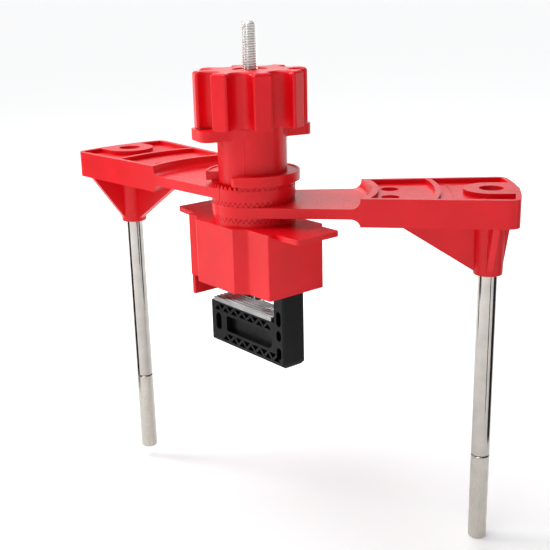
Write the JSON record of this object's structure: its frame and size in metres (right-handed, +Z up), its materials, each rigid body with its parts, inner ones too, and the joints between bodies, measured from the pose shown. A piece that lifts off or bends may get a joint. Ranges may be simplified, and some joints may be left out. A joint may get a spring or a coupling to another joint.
{
  "type": "valve lever lockout clamp",
  "caption": "Clamp-on lockout for a lever valve: serrated jaw, swinging arms with hanging stop rods, a padlock sleeve and a lobed knob on a central stud.",
  "frame": {"origin": "on the stud axis, in the face of the upper grip plate that rests on top of the valve lever", "axes": "+Z up along the stud, +X towards the jaw's column, Y along the valve lever"},
  "size_m": [0.3069, 0.1774, 0.351],
  "materials": {
    "red_plastic": "satin moulded",
    "black_plastic": "matt moulded",
    "bright_rod": "bright plated",
    "satin_rod": "satin turned",
    "plated_steel": "zinc plated",
    "grip_steel": "plain sheared"
  },
  "bodies": {
    "clamp": {"clamp_housing": "red_plastic", "stud_bush": "plated_steel", "upper_grip_pad": "black_plastic", "upper_grip_plate": "grip_steel", "upper_plate_screws": "plated_steel", "pad_screws": "plated_steel"},
    "jaw": {"jaw_hook": "black_plastic", "lower_grip_plate": "grip_steel", "lower_plate_screws": "plated_steel", "threaded_stud": "plated_steel", "stud_lock_nut": "plated_steel"},
    "lower_arm": {"lower_arm": "red_plastic", "lower_stop_rod": "bright_rod", "lower_rod_extension": "satin_rod", "lower_rod_joint_stud": "plated_steel", "lower_rod_washer": "plated_steel", "lower_rod_screw": "plated_steel"},
    "upper_arm": {"upper_arm": "red_plastic", "upper_stop_rod": "bright_rod", "upper_rod_extension": "satin_rod", "upper_rod_joint_stud": "plated_steel", "upper_rod_washer": "plated_steel", "upper_rod_screw": "plated_steel"},
    "sleeve": {"lock_sleeve": "red_plastic"},
    "knob": {"lock_knob": "red_plastic", "knob_nut": "plated_steel", "thrust_washer": "plated_steel"}
  },
  "joints": [
    {"name": "lower_arm_swing", "type": "hinge", "parent": "clamp", "child": "lower_arm", "pos_m": [0, 0, 0.0528], "axis": [0, 0, 1], "continuous": true},
    {"name": "upper_arm_swing", "type": "hinge", "parent": "lower_arm", "child": "upper_arm", "pos_m": [0, 0, 0.0631], "axis": [0, 0, 1], "range_deg": [-82.5, 172.5]},
    {"name": "sleeve_index", "type": "hinge", "parent": "upper_arm", "child": "sleeve", "pos_m": [0, 0, 0.0734], "axis": [0, 0, 1], "continuous": true},
    {"name": "knob_turn", "type": "hinge", "parent": "clamp", "child": "knob", "pos_m": [0, 0, 0.125], "axis": [0, 0, 1], "range_deg": [-2160, 2160]},
    {"name": "jaw_slide", "type": "slide", "parent": "clamp", "child": "jaw", "axis": [0, 0, 1], "range_m": [-0.009, 0.009]}
  ],
  "couplings": [
    {"joint": "jaw_slide", "follows": "knob_turn", "m_per_rad": -0.00023873}
  ]
}
